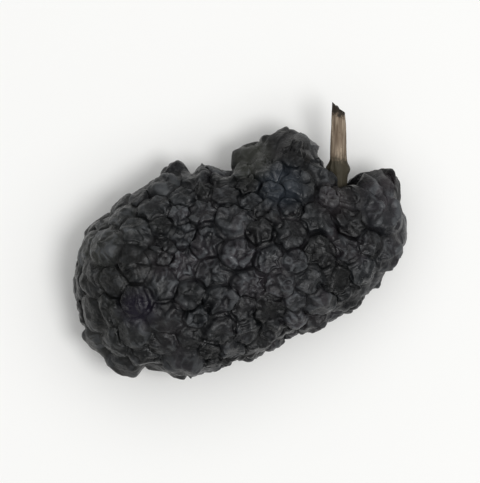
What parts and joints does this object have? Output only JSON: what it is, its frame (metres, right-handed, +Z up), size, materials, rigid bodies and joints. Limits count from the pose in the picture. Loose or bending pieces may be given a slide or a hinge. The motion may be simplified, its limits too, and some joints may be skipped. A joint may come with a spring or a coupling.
{
  "type": "dried mulberry",
  "caption": "Whole dried black mulberry with its short dry stalk, lying on its side: food, garnish or trail-mix prop.",
  "frame": {"origin": "middle of the bounding box, at the level of the surface that the fruit lies on", "axes": "+X from the fat blossom end to the narrow end, +Y the way the stalk points, +Z up"},
  "size_m": [0.0197, 0.0164, 0.009],
  "materials": {
    "fruit": "blue-black dried skin, wrinkled, dull to satin, with a faint dusty bloom",
    "stalk": "dry tan plant stem, matt, fibrous, browner at both ends"
  },
  "bodies": {
    "root": {"fruit": "fruit", "stalk": "stalk"}
  },
  "joints": []
}
